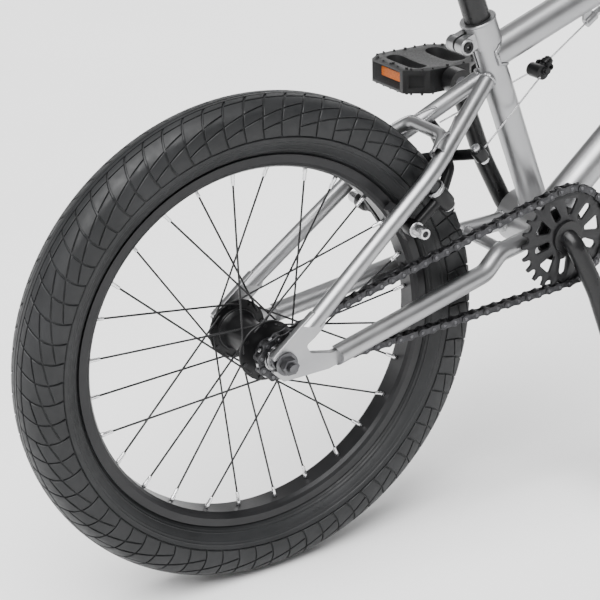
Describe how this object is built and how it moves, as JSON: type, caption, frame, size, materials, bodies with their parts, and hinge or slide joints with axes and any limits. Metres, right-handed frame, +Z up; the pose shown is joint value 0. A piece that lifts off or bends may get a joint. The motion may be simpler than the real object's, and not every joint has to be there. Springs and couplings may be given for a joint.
{
  "type": "bmx bike",
  "caption": "Small-wheeled freestyle bicycle with a steel diamond frame, high braced handlebar, one-piece crank, chain drive, cantilever rim brake and low padded seat.",
  "frame": {"origin": "on the ground under the middle of the bike's length and width, where both tyres touch", "axes": "+X forward, +Y to the rider's left, +Z up"},
  "size_m": [1.2888, 0.6738, 0.8982],
  "materials": {
    "frame_paint": "silver paint under a satin clear coat",
    "black_steel": "satin black powder coat",
    "black_alloy": "black anodised",
    "steel": "plain machined steel",
    "dark_steel": "blackened steel",
    "nipple_silver": "bright plated",
    "chain_steel": "dark blued steel",
    "tyre_rubber": "black vulcanised rubber",
    "grip_rubber": "soft black rubber",
    "pedal_plastic": "moulded black plastic",
    "amber": "amber prismatic plastic",
    "seat_fabric": "black padded cloth"
  },
  "bodies": {
    "frame": {"head_tube": "frame_paint", "top_tube": "frame_paint", "down_tube": "frame_paint", "seat_tube": "frame_paint", "bottom_bracket_shell": "frame_paint", "seatstays": "frame_paint", "chainstays": "frame_paint", "dropouts": "frame_paint", "stay_bridges": "frame_paint", "brake_posts": "frame_paint", "cable_stop": "frame_paint", "clamp_bolt": "dark_steel", "headset_bearings": "steel", "bottom_bracket_cups": "steel", "crank_bearings": "steel", "rear_axle": "steel", "rear_axle_nuts": "dark_steel", "brake_housing": "pedal_plastic", "chain": "chain_steel"},
    "steering": {"fork": "black_steel", "headset_cap": "black_steel", "stem": "black_alloy", "stem_faceplate": "black_alloy", "stem_bolts": "dark_steel", "handlebar": "black_steel", "left_grip": "grip_rubber", "right_grip": "grip_rubber", "lever_clamp": "black_steel", "front_axle": "steel", "front_axle_nuts": "dark_steel"},
    "brake_lever": {"brake_lever": "black_alloy"},
    "front_wheel": {"front_tyre": "tyre_rubber", "front_rim": "black_alloy", "front_hub": "black_alloy", "front_spokes": "dark_steel", "front_nipples": "nipple_silver"},
    "rear_wheel": {"rear_tyre": "tyre_rubber", "rear_rim": "black_alloy", "rear_hub": "black_alloy", "rear_spokes": "dark_steel", "rear_nipples": "nipple_silver"},
    "driver": {"driver_cog": "steel"},
    "crankset": {"crank": "black_steel", "sprocket": "black_steel", "pedal_axles": "steel"},
    "left_pedal": {"left_pedal": "pedal_plastic", "left_pedal_reflectors": "amber"},
    "right_pedal": {"right_pedal": "pedal_plastic", "right_pedal_reflectors": "amber"},
    "left_brake_arm": {"left_brake_arm": "black_steel", "left_brake_pad": "grip_rubber"},
    "right_brake_arm": {"right_brake_arm": "black_steel", "right_brake_pad": "grip_rubber"},
    "cable_hanger": {"cable_hanger": "black_steel", "inner_cable": "steel", "straddle_wire": "steel"},
    "seat_post": {"seat_post": "black_steel"},
    "seat": {"seat_shell": "pedal_plastic", "seat_cover": "seat_fabric"}
  },
  "joints": [
    {"name": "steering", "type": "hinge", "parent": "frame", "child": "steering", "pos_m": [0.26485, 0, 0.6425], "axis": [-0.2672, 0, 0.9636], "range_deg": [-70, 70], "deforming": ["brake_housing"]},
    {"name": "front_wheel_spin", "type": "hinge", "parent": "steering", "child": "front_wheel", "pos_m": [0.40595, 0, 0.2385], "axis": [0, 1, 0], "continuous": true},
    {"name": "rear_wheel_spin", "type": "hinge", "parent": "frame", "child": "rear_wheel", "pos_m": [-0.40595, 0, 0.2385], "axis": [0, 1, 0], "continuous": true},
    {"name": "crank_spin", "type": "hinge", "parent": "frame", "child": "crankset", "pos_m": [-0.07394, 0, 0.28321], "axis": [0, 1, 0], "continuous": true, "deforming": ["chain"]},
    {"name": "driver_spin", "type": "hinge", "parent": "frame", "child": "driver", "pos_m": [-0.40595, -0.044, 0.2385], "axis": [0, 1, 0], "continuous": true},
    {"name": "left_pedal_spin", "type": "hinge", "parent": "crankset", "child": "left_pedal", "pos_m": [-0.12525, 0.12, 0.42417], "axis": [0, 1, 0], "continuous": true},
    {"name": "right_pedal_spin", "type": "hinge", "parent": "crankset", "child": "right_pedal", "pos_m": [-0.02264, -0.12, 0.14226], "axis": [0, 1, 0], "continuous": true},
    {"name": "brake_lever_pull", "type": "hinge", "parent": "steering", "child": "brake_lever", "pos_m": [0.27941, -0.19406, 0.87707], "axis": [0.2668, -0.0561, -0.9621], "range_deg": [0, 22], "stiffness_Nm_per_rad": 0.6, "springref_deg": -14.32},
    {"name": "right_arm_swing", "type": "hinge", "parent": "frame", "child": "right_brake_arm", "pos_m": [-0.22325, -0.0435, 0.35608], "axis": [0.6074, 0, -0.7944], "range_deg": [0, 2.8]},
    {"name": "left_arm_swing", "type": "hinge", "parent": "frame", "child": "left_brake_arm", "pos_m": [-0.22325, 0.0435, 0.35608], "axis": [-0.6074, 0, 0.7944], "range_deg": [0, 2.8]},
    {"name": "cable_hanger_slide", "type": "slide", "parent": "frame", "child": "cable_hanger", "axis": [0.8345, 0, 0.551], "range_m": [0, 0.005], "deforming": ["straddle_wire"]},
    {"name": "seat_post_slide", "type": "slide", "parent": "frame", "child": "seat_post", "axis": [-0.3404, 0, 0.9403], "range_m": [-0.045, 0.03]},
    {"name": "seat_tilt", "type": "hinge", "parent": "seat_post", "child": "seat", "pos_m": [-0.17775, 0, 0.57658], "axis": [0, 1, 0], "range_deg": [-12, 12]}
  ],
  "couplings": [
    {"joint": "driver_spin", "follows": "crank_spin", "ratio": 2.7778},
    {"joint": "right_arm_swing", "follows": "brake_lever_pull", "ratio": 0.127},
    {"joint": "left_arm_swing", "follows": "brake_lever_pull", "ratio": 0.127},
    {"joint": "cable_hanger_slide", "follows": "brake_lever_pull", "m_per_rad": 0.0127}
  ]
}
